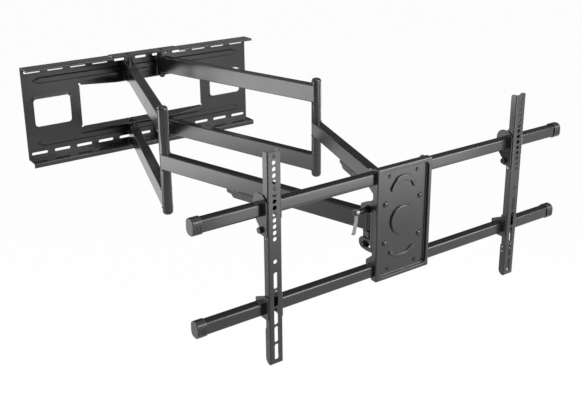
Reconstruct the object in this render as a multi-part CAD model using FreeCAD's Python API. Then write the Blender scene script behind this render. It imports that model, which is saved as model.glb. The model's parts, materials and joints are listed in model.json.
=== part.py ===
"""Full-motion television wall mount: wall plate, two folding arms, tilting head, rails and brackets.

Frame: X runs along the wall to the right, Y runs into the wall, Z is up. The origin is the middle
of the wall bolt pattern, on the back face of the wall plate. All sizes are millimetres.
"""
import FreeCAD, Part
import math
import os

V = FreeCAD.Vector
X_AXIS = V(1, 0, 0)
Y_AXIS = V(0, 1, 0)
Z_AXIS = V(0, 0, 1)

# Arms and linkage
ARM_LENGTH = 606.0          # pivot to pivot, the same for the inner and the outer arms
PIVOT_HALF = 56.0           # half the spacing of the wall pivots, and of the head pivots
WALL_PIVOT_DEPTH = 34.0     # wall pivots stand this far from the wall
REST_ANGLE = 17.0           # each arm leans out by this angle at rest
KNUCKLE_R = 13.5
INNER_BAR_W = 27.0
INNER_BAR_H = 48.0
INNER_BAR_Z = 100.0         # middle height of the upper inner bar
OUTER_BAR_W = 26.0
OUTER_BAR_H = 40.0
OUTER_BAR_SETBACK = 3.0     # the outer bar starts this far past the elbow axis
BAR_WALL = 2.0
BAR_CORNER = 2.5
DRAIN_R = 2.5
OUTER_TUBE_HALF = 67.8      # half height of the elbow tube of the outer arm
ELBOW_PIN_R = 8.0
CAP_DOME = 9.0
COLUMN_HALF = 142.5         # half height of the whole elbow column

# Bushes and running gaps
BUSH_FLANGE = 1.2
BUSH_WALL = 2.0
BUSH_SLEEVE = 16.0
FACE_GAP = 0.1              # between faces that turn on each other
RUN_GAP = 0.3               # radial gap of a turning fit
OPEN_PIVOT_GAP = 0.6        # radial gap of the right head pivot
SIDE_GAP = 0.3              # between plates that slide past each other

# Wall plate
PLATE_W = 764.0
PLATE_H = 284.0
PLATE_T = 2.5
FLANGE_DEPTH = 50.0
LIP = 14.5
TOP_LIP = 6.5
BEND_R = 3.5
OPENING_W = 414.0
OPENING_H = 133.0
INNER_FLANGE_DEPTH = 50.0
INNER_FLANGE_END = 15.0
INNER_FLANGE_FLAT = 104.0   # half width of the deep middle part
WINDOW_W = 112.0
WINDOW_H = 84.0
WINDOW_X = 297.0
WINDOW_R = 10.0
WINDOW_RIM = 4.5
WINDOW_SLOPE = 6.0          # the drawn rim narrows by this much on its way forward
SLOT_L = 49.0
SLOT_SHORT = 37.0
SLOT_GAP = 21.7
SLOT_W = 8.5
SLOT_Z = 125.0
SLOTS_PER_SIDE = 5
RIB_Z = 96.0
RIB_H = 20.0
RIB_RISE = 3.5
RIB_HALF = 352.0            # from the middle to a rib's pointed end
RIB_INSET = 1.0             # the hollow behind a rib is this much narrower all round
RIB_TIP = 22.0
DOUBLER_W = 224.0
DOUBLER_T = 3.5
WALL_BOLT_R = 6.0
WALL_BOLT_HEAD_R = 8.5
WALL_BOLT_HEAD_H = 8.0
WALL_BOLT_DOME = 5.0        # rounding of the head's edge
WALL_BOLT_KEY_R = 2.9
WALL_BOLT_SOCKET = 3.0
WALL_WASHER_R = 12.0
WALL_WASHER_T = 2.0
RELIEF_R = 3.0

# Head: distances called back run from the front rim of the head plate towards the wall
HEAD_PIVOT_BACK = 44.0
HEAD_PIN_R = 7.0
HEAD_PIN_HEAD_R = 9.5
HEAD_PIN_HEAD_T = 3.0
YOKE_T = 4.0
YOKE_HALF_W = 70.2
YOKE_FRONT = 33.0
YOKE_BACK = 58.0
SPINE_HALF_W = 28.0
SPINE_FRONT = 36.0
TILT_BACK = 31.0
TILT_Z = 31.0
EAR_R = 9.0
GUIDE_RADIUS = 80.0         # guide bolt to tilt axis
GUIDE_LEAN = 6.0            # the guide bolt lies this many degrees nearer the wall than straight below
GUIDE_BOLT_R = 4.0
TILT_BOLT_R = 4.0
CROSS_HEAD_H = 6.0
CROSS_HEAD_R = 8.0
GUIDE_HEAD_H = 5.0
GUIDE_HEAD_R = 6.8
GUIDE_NUT_H = 6.0
GUIDE_NUT_R = 7.2
GUIDE_END = 2.0             # the guide bolt's thread stands out of its nut by this much
TILT_FORWARD = 10.0
TILT_REARWARD = 5.0
LUG_BACK = 53.5
LUG_BOTTOM = 23.0
LUG_TOP = 55.0              # top of the lug where it leaves the web
LUG_SHOULDER_BACK = 38.0
LUG_SHOULDER_Z = 46.0
LUG_END_TOP = 38.0
CHEEK_T = 3.0
CHEEK_STRIP = 6.0
QUADRANT_HALF = 13.0        # half width of the slotted quadrant
WEB_T = 3.0
WEB_TOP = 56.0
WEB_BOTTOM = -60.0
WEB_NOTCH_TOP = -14.0
WEB_HALF = 58.0             # half width of the web below its notches
CLAMP_NUT_FLANGE = 2.5
CLAMP_NUT_FLANGE_R = 9.0
CLAMP_NUT_H = 7.0
CLAMP_NUT_R = 7.5
CLAMP_COLLAR_R = 5.5
LEVER_X = -99.0
LEVER_HUB_R = 7.0
LEVER_HUB_W = 8.0
LEVER_DROP = 44.0
LEVER_HALF_W = 3.2
LEVER_T = 4.0
LEVER_CAP_R = 5.2
LEVER_FLARE = 6.0

# Head plate
HEAD_W = 147.0
HEAD_H = 248.0
HEAD_T = 2.0
HEAD_FLANGE = 15.0
HEAD_RIM = 8.5
PANEL_BACK = 9.0            # rear face of the sunk panel, which the rails touch
PANEL_R = 11.0
DISC_R = 32.5
DISC_RISE = 4.5
DISC_EDGE = 2.6
ARCH_RISE = 4.0
ARCH_Z = 62.0               # centre height of the upper ridge
ARCH_R = 31.0
ARCH_HALF_W = 3.8
ARCH_SWEEP = 73.0           # degrees to each side of the top
ARCH_CREST_HALF_W = 6.6
CREST_SWEEP = 28.0
LOW_ARCH_Z = 31.0
LOW_ARCH_R = 49.0
LOW_ARCH_SWEEP = 39.0
ARCH_EDGE = 1.8
LEVEL_BOLT_X = 47.0
LEVEL_BOLT_Z = 43.0
LEVEL_BOLT_R = 3.0
LEVEL_HEAD_R = 6.6
LEVEL_HEAD_H = 4.4
LEVEL_ANGLE = 3.0
LEVEL_PIVOT_R = 8.0
SPACER_R = 34.0
RAIL_SCREW_X = 37.0
RAIL_SCREW_R = 2.5
EAR_BACK = 36.0
EAR_PAST = 19.0             # an ear reaches this far past the middle of its rail, outwards
EAR_INWARD = 34.0           # and this far towards the middle of the plate
EAR_ROOT = 4.0              # front edge of an ear, inside the side flange
EAR_T = 2.0

# Rails and brackets
RAIL_Z = 102.0
RAIL_H = 25.0
RAIL_D = 22.0
RAIL_R = 3.2
RAIL_WALL = 2.0
RAIL_SPAN = 976.0           # over the end caps
CAP_LENGTH = 20.0
CAP_WALL_D = 2.5            # cap past the rail at the front and back
CAP_WALL_H = 4.0            # and above and below
CAP_R = 11.0
CAP_END = 4.0
BRACKET_X = 326.0
BRACKET_L = 435.0
BRACKET_W = 30.0
BRACKET_T = 2.0
BRACKET_FRONT = -7.0        # brackets stand this far in front of the head plate
BRACKET_FLANGE = 15.5
HOLE_D = 9.0
HOLE_PITCH = 12.5
HOLE_COUNT = 14
HOLE_EDGE = 9.0
TV_SLOT_L = 34.4
TV_SLOT_PITCH = 38.1
TV_SLOT_COUNT = 5
CLAMP_T = 2.5
CLAMP_FRONT = -4.0
CLAMP_BACK = 40.0
CLAMP_RISE = 31.0           # clamp past the middle of its rail, upwards
CLAMP_FALL = 19.0           # and downwards
LEG_BOTTOM = 50.0           # the upper clamp's leg ends this far below the middle of the rail
LEG_BACK = 18.0
LEG_SHOULDER = 23.0         # the leg's slope starts this far below the middle of the rail
LEG_SHOULDER_BACK = 32.0
KNOB_BACK = 13.5
KNOB_DROP = 40.0
CLAMP_GAP = 0.4
SAFETY_SCREW_R = 3.0
SAFETY_HEAD_R = 6.2
SAFETY_HEAD_H = 6.0
SAFETY_NUT_R = 4.7
SAFETY_NUT_H = 4.0

# Cable covers
COVER_START = 216.0
COVER_LENGTH = 179.0
COVER_DROP = 17.0
COVER_WALL = 1.6

# Worked out from the sizes above
LEAN = math.radians(REST_ANGLE)
ELBOW_X = PIVOT_HALF + ARM_LENGTH * math.sin(LEAN)
ELBOW_Y = -(WALL_PIVOT_DEPTH + ARM_LENGTH * math.cos(LEAN))
HEAD_PIVOT_Y = -(WALL_PIVOT_DEPTH + 2 * ARM_LENGTH * math.cos(LEAN))
FACE_Y = HEAD_PIVOT_Y - HEAD_PIVOT_BACK
YOKE_Z = OUTER_BAR_H / 2 + BUSH_FLANGE + FACE_GAP
KNUCKLE_LOW = OPENING_H / 2 + PLATE_T + FACE_GAP + BUSH_FLANGE
KNUCKLE_HIGH = PLATE_H / 2 - PLATE_T - FACE_GAP - BUSH_FLANGE
ELBOW_KNUCKLE_LOW = OUTER_TUBE_HALF + BUSH_FLANGE + FACE_GAP
ELBOW_KNUCKLE_HIGH = COLUMN_HALF - CAP_DOME
CHEEK_IN = YOKE_HALF_W + SIDE_GAP
CHEEK_OUT = CHEEK_IN + CHEEK_T
WEB_FRONT = HEAD_FLANGE + 1.0
WEB_REAR = WEB_FRONT + WEB_T
PANEL_FRONT = PANEL_BACK - HEAD_T
RAIL_FRONT = PANEL_BACK
RAIL_REAR = RAIL_FRONT + RAIL_D
GUIDE_Z = TILT_Z - GUIDE_RADIUS * math.cos(math.radians(GUIDE_LEAN))
GUIDE_BACK = TILT_BACK + GUIDE_RADIUS * math.sin(math.radians(GUIDE_LEAN))


def back(distance):
    """Y of a plane that lies this far behind the front rim of the head plate."""
    return FACE_Y + distance


def block(x0, x1, y0, y1, z0, z1):
    return Part.makeBox(x1 - x0, y1 - y0, z1 - z0, V(x0, y0, z0))


def upright(x, y, z0, z1, radius):
    """Round bar along Z."""
    return Part.makeCylinder(radius, z1 - z0, V(x, y, z0), Z_AXIS)


def crosswise(y, z, x0, x1, radius):
    """Round bar along X."""
    return Part.makeCylinder(radius, x1 - x0, V(x0, y, z), X_AXIS)


def endwise(x, z, y0, y1, radius):
    """Round bar along Y."""
    return Part.makeCylinder(radius, y1 - y0, V(x, y0, z), Y_AXIS)


def ring(x, y, z0, z1, outer, inner):
    """Upright tube."""
    return upright(x, y, z0, z1, outer).cut(upright(x, y, z0 - 1, z1 + 1, inner))


def rounded_face(points, radii, place):
    """Face from a closed outline whose corners are rounded; place turns (u, v) into a point."""
    count = len(points)
    corners = []
    for i in range(count):
        here = V(points[i][0], points[i][1], 0)
        before = V(points[i - 1][0], points[i - 1][1], 0) - here
        after = V(points[(i + 1) % count][0], points[(i + 1) % count][1], 0) - here
        before.normalize()
        after.normalize()
        radius = radii[i] if isinstance(radii, (list, tuple)) else radii
        half = before.getAngle(after) / 2
        if radius <= 0 or abs(half - math.pi / 2) < 1e-6:
            corners.append((here, None, here))
            continue
        reach = radius / math.tan(half)
        middle = before + after
        middle.normalize()
        crown = here + middle * (radius / math.sin(half) - radius)
        corners.append((here + before * reach, crown, here + after * reach))
    edges = []
    for i in range(count):
        start, crown, end = corners[i]
        if crown is not None:
            edges.append(Part.Arc(place(start.x, start.y), place(crown.x, crown.y),
                                  place(end.x, end.y)).toShape())
        following = corners[(i + 1) % count][0]
        if end.distanceToPoint(following) > 1e-6:
            edges.append(Part.makeLine(place(end.x, end.y), place(following.x, following.y)))
    return Part.Face(Part.Wire(edges))


def rectangle(half_u, half_v, u=0.0, v=0.0):
    return [(u - half_u, v - half_v), (u + half_u, v - half_v),
            (u + half_u, v + half_v), (u - half_u, v + half_v)]


def front_prism(points, radii, y0, y1):
    """Outline in X and Z, drawn along Y."""
    return rounded_face(points, radii, lambda u, v: V(u, y0, v)).extrude(V(0, y1 - y0, 0))


def side_prism(points, radii, x0, x1):
    """Outline in Y and Z, drawn along X."""
    return rounded_face(points, radii, lambda u, v: V(x0, u, v)).extrude(V(x1 - x0, 0, 0))


def plan_prism(points, radii, z0, z1):
    """Outline in X and Y, drawn along Z."""
    return rounded_face(points, radii, lambda u, v: V(u, v, z0)).extrude(V(0, 0, z1 - z0))


def long_slot(x, z, length, width, y0, y1, along_z=False):
    """Round-ended slot through a plate that faces Y."""
    flat = (length - width) / 2
    half = width / 2
    dx, dz = (0.0, flat) if along_z else (flat, 0.0)
    body = block(x - max(dx, half if along_z else 0), x + max(dx, half if along_z else 0), y0, y1,
                 z - max(dz, 0 if along_z else half), z + max(dz, 0 if along_z else half))
    ends = [endwise(x + sign * dx, z + sign * dz, y0, y1, half) for sign in (-1, 1)]
    return body.fuse(ends)


def mirrored(shape):
    """The same piece on the other side of the middle plane."""
    return shape.mirror(V(0, 0, 0), X_AXIS)


def lowered(shape):
    """The same piece below the middle height."""
    return shape.mirror(V(0, 0, 0), Z_AXIS)


def arc_band(centre_u, centre_v, radius, half_width, start, end, place, along):
    """Curved bar with round ends, from start to end in degrees, drawn along a vector."""
    def at(distance, degrees):
        angle = math.radians(degrees)
        return place(centre_u + distance * math.cos(angle), centre_v + distance * math.sin(angle))

    def cap(degrees, tip):
        angle = math.radians(degrees)
        side = math.radians(degrees + (90 if tip > 0 else -90))
        mid_u = centre_u + radius * math.cos(angle) + half_width * math.cos(side)
        mid_v = centre_v + radius * math.sin(angle) + half_width * math.sin(side)
        return place(mid_u, mid_v)

    inner = radius - half_width
    outer = radius + half_width
    middle = (start + end) / 2
    edges = [Part.Arc(at(outer, start), at(outer, middle), at(outer, end)).toShape(),
             Part.Arc(at(outer, end), cap(end, 1), at(inner, end)).toShape(),
             Part.Arc(at(inner, end), at(inner, middle), at(inner, start)).toShape(),
             Part.Arc(at(inner, start), cap(start, -1), at(outer, start)).toShape()]
    return Part.Face(Part.Wire(edges)).extrude(along)


def hexagon(x, y, z0, z1, radius):
    """Six-sided head or nut, upright."""
    points = [V(x + radius * math.cos(math.radians(60 * i)), y + radius * math.sin(math.radians(60 * i)), z0)
              for i in range(7)]
    return Part.Face(Part.makePolygon(points)).extrude(V(0, 0, z1 - z0))


def turned(shape, x, y, z, axis, degrees):
    """Copy of a shape turned about an axis through a point."""
    copy = shape.copy()
    copy.rotate(V(x, y, z), axis, degrees)
    return copy


def raised_rib():
    """Solid of the upper pressed rib with its pointed ends, and the hollow behind it."""
    def outline(margin, y):
        low = RIB_Z - RIB_H / 2 + margin
        high = RIB_Z + RIB_H / 2 - margin
        tip = RIB_HALF - margin
        points = [(-tip + RIB_TIP, low), (tip - RIB_TIP, low), (tip, RIB_Z), (tip - RIB_TIP, high),
                  (-tip + RIB_TIP, high), (-tip, RIB_Z)]
        corners = [V(u, y, v) for u, v in points]
        return Part.makePolygon(corners + [corners[0]])

    crest = Part.makeLoft([outline(0, -PLATE_T), outline(RIB_RISE, -PLATE_T - RIB_RISE)], True)
    hollow = Part.makeLoft([outline(RIB_INSET, 0), outline(RIB_INSET + RIB_RISE, -RIB_RISE)], True)
    return crest, hollow


def window_rim(side, wide, narrow, start):
    """Tapered body round one window, from the sheet to the front of the drawn rim."""
    def outline(margin, y):
        face = rounded_face(rectangle(WINDOW_W / 2 + margin, WINDOW_H / 2 + margin, side * WINDOW_X),
                            WINDOW_R + margin, lambda u, v: V(u, y, v))
        return face.OuterWire

    return Part.makeLoft([outline(wide, start), outline(narrow, -PLATE_T - WINDOW_RIM)], True)


def wall_slot_places():
    """Middle and length of each slot in one row."""
    places = [(0.0, SLOT_SHORT)]
    first = SLOT_SHORT / 2 + SLOT_GAP + SLOT_L / 2
    for i in range(SLOTS_PER_SIDE):
        offset = first + i * (SLOT_L + SLOT_GAP)
        places += [(-offset, SLOT_L), (offset, SLOT_L)]
    return places


def wall_plate():
    """One pressed sheet: flanges, lip, slotted rows, windows, ribs and the flanged middle opening."""
    half_w = PLATE_W / 2
    half_h = PLATE_H / 2
    behind_lip = -FLANGE_DEPTH + PLATE_T
    section = [(0, -half_h), (0, half_h), (-FLANGE_DEPTH, half_h), (-FLANGE_DEPTH, half_h - TOP_LIP),
               (behind_lip, half_h - TOP_LIP), (behind_lip, half_h - PLATE_T),
               (-PLATE_T, half_h - PLATE_T), (-PLATE_T, -half_h + PLATE_T),
               (-FLANGE_DEPTH, -half_h + PLATE_T), (-FLANGE_DEPTH, -half_h - LIP + PLATE_T),
               (behind_lip, -half_h - LIP + PLATE_T), (behind_lip, -half_h)]
    inside = BEND_R - PLATE_T
    radii = [BEND_R, BEND_R, BEND_R, 0, 0, inside, inside, inside, BEND_R, 0, 0, inside]
    plate = side_prism(section, radii, -half_w, half_w)
    crest, hollow = raised_rib()
    plate = plate.fuse([crest, lowered(crest)])
    plate = plate.cut([hollow, lowered(hollow)])
    for side in (-1, 1):
        plate = plate.fuse(window_rim(side, PLATE_T + WINDOW_SLOPE, PLATE_T, -PLATE_T + 0.01))
        plate = plate.cut(window_rim(side, WINDOW_SLOPE, 0, 0))
        plate = plate.cut(front_prism(rectangle(WINDOW_W / 2, WINDOW_H / 2, side * WINDOW_X), WINDOW_R,
                                      -PLATE_T - WINDOW_RIM - 1, 1))
    plate = plate.cut(block(-DOUBLER_W / 2, DOUBLER_W / 2, -FLANGE_DEPTH - 1, behind_lip + inside,
                            half_h - TOP_LIP - 1, half_h - PLATE_T))
    plate = plate.cut(block(-OPENING_W / 2, OPENING_W / 2, -PLATE_T - 1, 1, -OPENING_H / 2, OPENING_H / 2))
    reach = OPENING_W / 2 - 2
    flange = plan_prism([(-reach, 0), (-reach, -INNER_FLANGE_END), (-INNER_FLANGE_FLAT, -INNER_FLANGE_DEPTH),
                         (INNER_FLANGE_FLAT, -INNER_FLANGE_DEPTH), (reach, -INNER_FLANGE_END), (reach, 0)],
                        [0, 5, 12, 12, 5, 0], OPENING_H / 2, OPENING_H / 2 + PLATE_T)
    plate = plate.fuse([flange, lowered(flange)])
    cuts = []
    for side in (-1, 1):
        for level in (-1, 1):
            cuts.append(endwise(side * OPENING_W / 2, level * OPENING_H / 2, -PLATE_T - 1, 1, RELIEF_R))
            cuts.append(upright(side * PIVOT_HALF, -WALL_PIVOT_DEPTH, level * PLATE_H / 2 - 5,
                                level * PLATE_H / 2 + 5, WALL_BOLT_R))
            cuts.append(upright(side * PIVOT_HALF, -WALL_PIVOT_DEPTH, level * OPENING_H / 2 - 5,
                                level * OPENING_H / 2 + 5, WALL_BOLT_R))
            cuts.append(upright(side * (PLATE_W / 2 - 12), -14, level * PLATE_H / 2 - 5,
                                level * PLATE_H / 2 + 5, RELIEF_R))
            cuts.append(upright(side * (DOUBLER_W / 2 + 8), -14, level * PLATE_H / 2 - 5,
                                level * PLATE_H / 2 + 5, RELIEF_R))
    for x, length in wall_slot_places():
        for level in (-1, 1):
            cuts.append(long_slot(x, level * SLOT_Z, length, SLOT_W, -PLATE_T - 1, 1))
    return plate.cut(cuts)


def doubler():
    """Threaded strip on the top flange that the upper pivot bolts screw into."""
    strip = plan_prism([(-DOUBLER_W / 2, -FLANGE_DEPTH + PLATE_T + 1), (DOUBLER_W / 2, -FLANGE_DEPTH + PLATE_T + 1),
                        (DOUBLER_W / 2, -9), (-DOUBLER_W / 2, -9)], 4, PLATE_H / 2, PLATE_H / 2 + DOUBLER_T)
    holes = [upright(side * PIVOT_HALF, -WALL_PIVOT_DEPTH, PLATE_H / 2 - 1, PLATE_H / 2 + DOUBLER_T + 1,
                     WALL_BOLT_R) for side in (-1, 1)]
    return strip.cut(holes)


def wall_pivot_bolts():
    """Four shoulder bolts; each head sits in the middle opening and the tip is in the doubler."""
    seat = OPENING_H / 2 - WALL_WASHER_T
    head_low = seat - WALL_BOLT_HEAD_H
    bolts = []
    for side in (-1, 1):
        x = side * PIVOT_HALF
        y = -WALL_PIVOT_DEPTH
        head = upright(x, y, head_low, seat, WALL_BOLT_HEAD_R)
        head = head.makeFillet(WALL_BOLT_DOME, [e for e in head.Edges if e.BoundBox.ZMax < head_low + 0.01])
        socket = hexagon(x, y, head_low - 1, head_low + WALL_BOLT_SOCKET, WALL_BOLT_KEY_R)
        bolt = head.fuse(upright(x, y, seat, PLATE_H / 2 + DOUBLER_T + 1.0, WALL_BOLT_R)).cut(socket)
        bolts += [bolt, lowered(bolt)]
    return Part.makeCompound(bolts)


def wall_pivot_washers():
    washers = []
    for side in (-1, 1):
        washer = ring(side * PIVOT_HALF, -WALL_PIVOT_DEPTH, OPENING_H / 2 - WALL_WASHER_T, OPENING_H / 2,
                      WALL_WASHER_R, WALL_BOLT_R)
        washers += [washer, lowered(washer)]
    return Part.makeCompound(washers)


def bar_section(width, height, radius, x):
    """Face of a rectangular tube section in the Y and Z plane at x."""
    return rounded_face(rectangle(width / 2, height / 2), radius, lambda u, v: V(x, u, v))


def inner_arm_bar():
    """Upper bar of an inner arm, along +X from the wall pivot at the origin, at its own height."""
    bar = bar_section(INNER_BAR_W, INNER_BAR_H, BAR_CORNER, 0).extrude(V(ARM_LENGTH, 0, 0))
    bar.translate(V(0, 0, INNER_BAR_Z))
    bar = bar.fuse([upright(0, 0, KNUCKLE_LOW, KNUCKLE_HIGH, KNUCKLE_R),
                    upright(ARM_LENGTH, 0, ELBOW_KNUCKLE_LOW, ELBOW_KNUCKLE_HIGH, KNUCKLE_R)])
    gap = KNUCKLE_R + BAR_WALL
    hollow = bar_section(INNER_BAR_W - 2 * BAR_WALL, INNER_BAR_H - 2 * BAR_WALL, BAR_WALL / 2, gap)
    hollow = hollow.extrude(V(ARM_LENGTH - 2 * gap, 0, 0))
    hollow.translate(V(0, 0, INNER_BAR_Z))
    low = INNER_BAR_Z - INNER_BAR_H / 2
    drains = [upright(x, 0, low - 1, low + BAR_WALL + 1, DRAIN_R) for x in (2.5 * gap, ARM_LENGTH - 2.5 * gap)]
    bores = [upright(0, 0, KNUCKLE_LOW - 1, KNUCKLE_HIGH + 1, WALL_BOLT_R + RUN_GAP + BUSH_WALL),
             upright(ARM_LENGTH, 0, ELBOW_KNUCKLE_LOW - 1, ELBOW_KNUCKLE_HIGH + 1, ELBOW_PIN_R)]
    return bar.cut([hollow] + drains + bores)


def flanged_bush(x, y, seat, inward, sleeve, bore):
    """Plastic bush: its flange lies on the seat, its sleeve reaches inwards (+1 up, -1 down)."""
    outer = bore + BUSH_WALL
    flange_end = seat - inward * BUSH_FLANGE
    sleeve_end = seat + inward * sleeve
    flange = ring(x, y, min(seat, flange_end), max(seat, flange_end), KNUCKLE_R, bore)
    tube = ring(x, y, min(seat, sleeve_end), max(seat, sleeve_end), outer, bore)
    return flange.fuse(tube)


def wall_bushes():
    """Bushes of the upper wall knuckle, at the origin."""
    bore = WALL_BOLT_R + RUN_GAP
    return [flanged_bush(0, 0, KNUCKLE_LOW, 1, BUSH_SLEEVE, bore),
            flanged_bush(0, 0, KNUCKLE_HIGH, -1, BUSH_SLEEVE, bore)]


def elbow_cap():
    """Domed cap on top of the elbow column, at the origin."""
    profile = [V(0, 0, ELBOW_KNUCKLE_HIGH), V(KNUCKLE_R, 0, ELBOW_KNUCKLE_HIGH)]
    edge_low = ELBOW_KNUCKLE_HIGH + 1.2
    flat_r = 5.0
    crown = V(KNUCKLE_R * 0.83, 0, edge_low + (CAP_DOME - 1.2) * 0.62)
    edges = [Part.makeLine(profile[0], profile[1]),
             Part.makeLine(profile[1], V(KNUCKLE_R, 0, edge_low)),
             Part.Arc(V(KNUCKLE_R, 0, edge_low), crown, V(flat_r, 0, COLUMN_HALF)).toShape(),
             Part.makeLine(V(flat_r, 0, COLUMN_HALF), V(0, 0, COLUMN_HALF)),
             Part.makeLine(V(0, 0, COLUMN_HALF), profile[0])]
    return Part.Face(Part.Wire(edges)).revolve(V(0, 0, 0), Z_AXIS, 360)


def outer_arm():
    """Outer arm along +X: elbow tube at the origin, head knuckle at the far end."""
    bar = bar_section(OUTER_BAR_W, OUTER_BAR_H, BAR_CORNER, OUTER_BAR_SETBACK)
    bar = bar.extrude(V(ARM_LENGTH - OUTER_BAR_SETBACK, 0, 0))
    bar = bar.fuse([upright(0, 0, -OUTER_TUBE_HALF, OUTER_TUBE_HALF, KNUCKLE_R),
                    upright(ARM_LENGTH, 0, -OUTER_BAR_H / 2, OUTER_BAR_H / 2, KNUCKLE_R)])
    gap = KNUCKLE_R + BAR_WALL
    hollow = bar_section(OUTER_BAR_W - 2 * BAR_WALL, OUTER_BAR_H - 2 * BAR_WALL, BAR_WALL / 2, gap)
    hollow = hollow.extrude(V(ARM_LENGTH - 2 * gap, 0, 0))
    low = -OUTER_BAR_H / 2
    drains = [upright(x, 0, low - 1, low + BAR_WALL + 1, DRAIN_R) for x in (2.5 * gap, ARM_LENGTH - 2.5 * gap)]
    bores = [upright(0, 0, -OUTER_TUBE_HALF - 1, OUTER_TUBE_HALF + 1, ELBOW_PIN_R + RUN_GAP + BUSH_WALL),
             upright(ARM_LENGTH, 0, low - 1, -low + 1, HEAD_PIN_R + OPEN_PIVOT_GAP + BUSH_WALL)]
    return bar.cut([hollow] + drains + bores)


def elbow_bushes():
    """Two bushes in the elbow tube of an outer arm, at the origin."""
    bore = ELBOW_PIN_R + RUN_GAP
    upper = flanged_bush(0, 0, OUTER_TUBE_HALF, -1, BUSH_SLEEVE, bore)
    return Part.makeCompound([upper, lowered(upper)])


def head_bushes(run_gap):
    """Two bushes in the head knuckle, along +X at the arm's far end."""
    bore = HEAD_PIN_R + run_gap
    outer = HEAD_PIN_R + OPEN_PIVOT_GAP + BUSH_WALL
    seat = OUTER_BAR_H / 2
    flange = ring(ARM_LENGTH, 0, seat, seat + BUSH_FLANGE, KNUCKLE_R, bore)
    sleeve = ring(ARM_LENGTH, 0, seat - BUSH_SLEEVE, seat, outer, bore)
    upper = flange.fuse(sleeve)
    return Part.makeCompound([upper, lowered(upper)])


def cable_cover():
    """Clip-on cable channel under an outer arm, open at both stepped ends."""
    top = -OUTER_BAR_H / 2
    start = COVER_START
    end = COVER_START + COVER_LENGTH
    step = 7.0
    outline = [(start, top), (start + 1, top - step), (start + 2 * step, top - step - 2),
               (start + 3 * step, top - COVER_DROP), (end - 3 * step, top - COVER_DROP),
               (end - 2 * step, top - step - 2), (end - 1, top - step), (end, top)]
    radii = [0, 4, 5, 6, 6, 5, 4, 0]
    half = OUTER_BAR_W / 2
    face = rounded_face(outline, radii, lambda u, v: V(u, -half, v))
    body = face.extrude(V(0, 2 * half, 0))
    tunnel = block(start - 1, end + 1, -half + COVER_WALL, half - COVER_WALL, top - COVER_DROP + COVER_WALL, top + 1)
    return body.cut(tunnel)


def place_inner(shape):
    """Carry a piece drawn along +X from the wall pivot to the left inner arm."""
    placed = turned(shape, 0, 0, 0, Z_AXIS, -(90 + REST_ANGLE))
    placed.translate(V(-PIVOT_HALF, -WALL_PIVOT_DEPTH, 0))
    return placed


def place_outer(shape):
    """Carry a piece drawn along +X from the elbow to the left outer arm."""
    placed = turned(shape, 0, 0, 0, Z_AXIS, -(90 - REST_ANGLE))
    placed.translate(V(-ELBOW_X, ELBOW_Y, 0))
    return placed


def head_yoke():
    """Folded and welded bracket on the two head pins, with ears for the tilt bolts."""
    front = back(YOKE_FRONT)
    rear = back(YOKE_BACK)
    ear_inner = YOKE_HALF_W - YOKE_T

    def plate_at(ear_front, z0):
        outline = [(-YOKE_HALF_W, ear_front), (-ear_inner, ear_front), (-ear_inner + 4, front),
                   (ear_inner - 4, front), (ear_inner, ear_front), (YOKE_HALF_W, ear_front), (YOKE_HALF_W, rear),
                   (-YOKE_HALF_W, rear)]
        return plan_prism(outline, [0, 0, 1, 1, 0, 0, KNUCKLE_R, KNUCKLE_R], z0, z0 + YOKE_T)

    yoke = plate_at(back(TILT_BACK - EAR_R), YOKE_Z)
    yoke = yoke.fuse(plate_at(back(GUIDE_BACK - EAR_R), -YOKE_Z - YOKE_T))
    spine = block(-SPINE_HALF_W, SPINE_HALF_W, back(SPINE_FRONT), back(YOKE_BACK - 3), -YOKE_Z, YOKE_Z)
    spine = spine.cut(block(-SPINE_HALF_W + YOKE_T, SPINE_HALF_W - YOKE_T, back(SPINE_FRONT) - 1,
                            back(YOKE_BACK - 3 - YOKE_T), -YOKE_Z, YOKE_Z))
    yoke = yoke.fuse(spine)
    y = back(TILT_BACK)
    low_y = back(GUIDE_BACK)
    for side in (-1, 1):
        x0 = min(side * ear_inner, side * YOKE_HALF_W)
        x1 = max(side * ear_inner, side * YOKE_HALF_W)
        upper = block(x0, x1, y - EAR_R, y + EAR_R, YOKE_Z + YOKE_T / 2, TILT_Z)
        upper = upper.fuse(crosswise(y, TILT_Z, x0, x1, EAR_R))
        lower = block(x0, x1, low_y - EAR_R, low_y + EAR_R, GUIDE_Z, -YOKE_Z - YOKE_T / 2)
        lower = lower.fuse(crosswise(low_y, GUIDE_Z, x0, x1, EAR_R))
        yoke = yoke.fuse([upper, lower])
        yoke = yoke.cut([crosswise(y, TILT_Z, x0 - 1, x1 + 1, TILT_BOLT_R),
                         crosswise(low_y, GUIDE_Z, x0 - 1, x1 + 1, GUIDE_BOLT_R),
                         upright(side * PIVOT_HALF, HEAD_PIVOT_Y, -40, 40, HEAD_PIN_R)])
    return yoke


def head_pins():
    """The two upright pins of the head, riveted over the yoke plates."""
    pins = []
    top = YOKE_Z + YOKE_T
    for side in (-1, 1):
        x = side * PIVOT_HALF
        pin = upright(x, HEAD_PIVOT_Y, -top, top, HEAD_PIN_R)
        head = Part.makeCone(HEAD_PIN_HEAD_R, HEAD_PIN_HEAD_R - 2, HEAD_PIN_HEAD_T, V(x, HEAD_PIVOT_Y, top), Z_AXIS)
        pins.append(pin.fuse([head, lowered(head)]))
    return Part.makeCompound(pins)


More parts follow.
